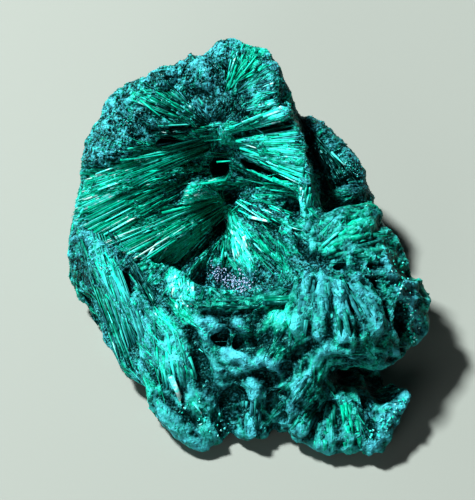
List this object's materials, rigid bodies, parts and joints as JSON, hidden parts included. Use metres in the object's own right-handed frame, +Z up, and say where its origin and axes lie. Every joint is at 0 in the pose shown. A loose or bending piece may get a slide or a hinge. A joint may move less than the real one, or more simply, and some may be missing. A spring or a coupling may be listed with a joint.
{
  "type": "malachite specimen",
  "caption": "Rough lump of fibrous malachite: sprays of silky green needles round an open hollow, on a flat broken foot.",
  "frame": {"origin": "on the face that the stone rests on, under the middle of its box", "axes": "+Z up from the resting face, +Y towards the high crest at the back, +X towards the big lobe on the right"},
  "size_m": [0.0406, 0.0456, 0.0201],
  "materials": {
    "malachite": "silky fibrous green, dull and dark where the needles end, with a pale blue bloom"
  },
  "bodies": {
    "root": {"malachite": "malachite"}
  },
  "joints": []
}
